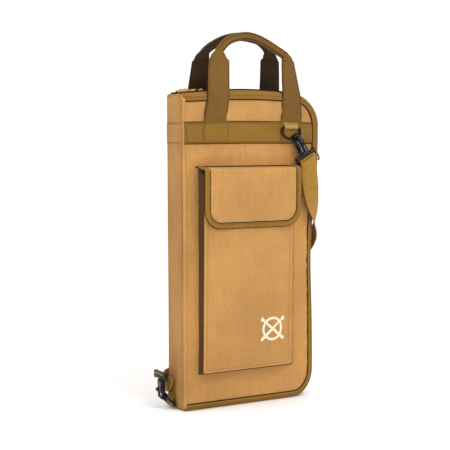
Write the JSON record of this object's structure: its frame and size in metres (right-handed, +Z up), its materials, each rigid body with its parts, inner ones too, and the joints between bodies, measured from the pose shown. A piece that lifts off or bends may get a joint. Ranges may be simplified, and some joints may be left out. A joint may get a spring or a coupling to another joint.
{
  "type": "drum stick bag",
  "caption": "Flat padded bag for drum sticks that opens like a book, with two carry handles, a flap pocket, and a shoulder strap on snap hooks.",
  "frame": {"origin": "middle of the closed body's foot, where the halves meet, on the surface that it stands on", "axes": "+X from the spine to the zip side, -Y towards the user and the accessory pocket, +Z up to the handles"},
  "size_m": [0.2921, 0.099, 0.5788],
  "materials": {
    "canvas": "woven polyester canvas",
    "webbing": "ribbed nylon webbing",
    "binding": "folded woven edge binding",
    "foam": "closed-cell padding",
    "lining": "plain woven lining",
    "zip": "coil zip",
    "zip_metal": "black enamel",
    "fastener": "hook-and-loop tape",
    "ring_metal": "gloss black wire",
    "hook_plastic": "moulded acetal"
  },
  "bodies": {
    "front_half": {"front_canvas": "canvas", "front_foam": "foam", "front_lining": "lining", "front_binding": "binding", "front_zip_tape": "zip", "front_zip_coil": "zip", "front_stick_pocket": "lining", "front_strip": "webbing", "pocket_face": "canvas", "pocket_gusset": "canvas", "pocket_fastener": "fastener", "flap_roof": "canvas", "upper_ring_tab": "webbing", "strap_front": "webbing", "strap_back": "webbing", "strap_adjuster": "hook_plastic"},
    "spine": {"spine_canvas": "canvas", "spine_foam": "foam", "spine_lining": "lining", "spine_band": "canvas", "lower_ring_tab": "webbing", "strap_lower": "webbing"},
    "back_half": {"back_canvas": "canvas", "back_foam": "foam", "back_lining": "lining", "back_binding": "binding", "back_zip_tape": "zip", "back_zip_coil": "zip", "back_stick_pocket": "lining", "back_strip": "webbing"},
    "front_handle": {"front_handle": "webbing"},
    "back_handle": {"back_handle": "webbing"},
    "flap": {"flap_panel": "canvas", "flap_binding": "binding", "flap_fastener": "fastener"},
    "upper_ring": {"upper_d_ring": "ring_metal"},
    "upper_hook": {"upper_snap_hook": "hook_plastic"},
    "upper_bolt": {"upper_spring_bolt": "hook_plastic"},
    "upper_swivel": {"upper_swivel": "hook_plastic"},
    "upper_slider": {"upper_slider": "zip_metal"},
    "upper_pull": {"upper_pull": "zip_metal"},
    "lower_ring": {"lower_d_ring": "ring_metal"},
    "lower_hook": {"lower_snap_hook": "hook_plastic"},
    "lower_bolt": {"lower_spring_bolt": "hook_plastic"},
    "lower_swivel": {"lower_swivel": "hook_plastic"},
    "lower_slider": {"lower_slider": "zip_metal"},
    "lower_pull": {"lower_pull": "zip_metal"}
  },
  "joints": [
    {"name": "spine_fold", "type": "hinge", "parent": "front_half", "child": "spine", "pos_m": [-0.121, -0.027, 0.24], "axis": [0, 0, 1], "range_deg": [0, 90], "deforming": ["strap_back", "strap_adjuster"]},
    {"name": "back_fold", "type": "hinge", "parent": "spine", "child": "back_half", "pos_m": [-0.121, 0.027, 0.24], "axis": [0, 0, 1], "range_deg": [0, 90]},
    {"name": "front_handle_swing", "type": "hinge", "parent": "front_half", "child": "front_handle", "pos_m": [0, -0.0297, 0.44], "axis": [-1, 0, 0], "range_deg": [-110, 0]},
    {"name": "back_handle_swing", "type": "hinge", "parent": "back_half", "child": "back_handle", "pos_m": [0, 0.0297, 0.44], "axis": [1, 0, 0], "range_deg": [-170, 0]},
    {"name": "flap_lift", "type": "hinge", "parent": "front_half", "child": "flap", "pos_m": [-0.0135, -0.052, 0.3685], "axis": [-1, 0, 0], "range_deg": [0, 160]},
    {"name": "upper_ring_swing", "type": "hinge", "parent": "front_half", "child": "upper_ring", "pos_m": [0.065, -0.033, 0.433], "axis": [1, 0, 0], "range_deg": [-25, 0], "deforming": ["strap_front"]},
    {"name": "upper_hook_swing", "type": "hinge", "parent": "upper_ring", "child": "upper_hook", "pos_m": [0.065, -0.03394, 0.42707], "axis": [0, 0.9877, -0.1564], "range_deg": [-10, 35]},
    {"name": "upper_bolt_slide", "type": "slide", "parent": "upper_hook", "child": "upper_bolt", "axis": [0.5736, 0, -0.8192], "range_m": [0, 0.0045], "stiffness_N_per_m": 250, "springref_m": -0.002},
    {"name": "upper_swivel_turn", "type": "hinge", "parent": "upper_hook", "child": "upper_swivel", "pos_m": [0.07246, -0.0396, 0.41656], "axis": [0.5736, 0, -0.8192], "range_deg": [-15, 15]},
    {"name": "lower_ring_swing", "type": "hinge", "parent": "spine", "child": "lower_ring", "pos_m": [-0.126, 0.0095, 0.006], "axis": [0, 1, 0], "range_deg": [-30, 5], "deforming": ["strap_lower"]},
    {"name": "lower_hook_swing", "type": "hinge", "parent": "lower_ring", "child": "lower_hook", "pos_m": [-0.13944, 0.0095, 0.01944], "axis": [0, 1, 0], "range_deg": [-40, 5]},
    {"name": "lower_bolt_slide", "type": "slide", "parent": "lower_hook", "child": "lower_bolt", "axis": [0, 0, 1], "range_m": [0, 0.0045], "stiffness_N_per_m": 250, "springref_m": -0.002},
    {"name": "lower_swivel_turn", "type": "hinge", "parent": "lower_hook", "child": "lower_swivel", "pos_m": [-0.14344, 0.0095, 0.01944], "axis": [0, 0, 1], "range_deg": [-15, 15]},
    {"name": "upper_slider_travel", "type": "slide", "parent": "front_half", "child": "upper_slider", "axis": [0, 0, 1], "range_m": [0, 0.016]},
    {"name": "lower_slider_travel", "type": "slide", "parent": "front_half", "child": "lower_slider", "axis": [0, 0, 1], "range_m": [-0.311, 0]},
    {"name": "upper_pull_swing", "type": "hinge", "parent": "upper_slider", "child": "upper_pull", "pos_m": [0.1251, 0, 0.409], "axis": [0, -1, 0], "range_deg": [0, 100]},
    {"name": "lower_pull_swing", "type": "hinge", "parent": "lower_slider", "child": "lower_pull", "pos_m": [0.1251, 0, 0.372], "axis": [0, -1, 0], "range_deg": [0, 95]}
  ]
}
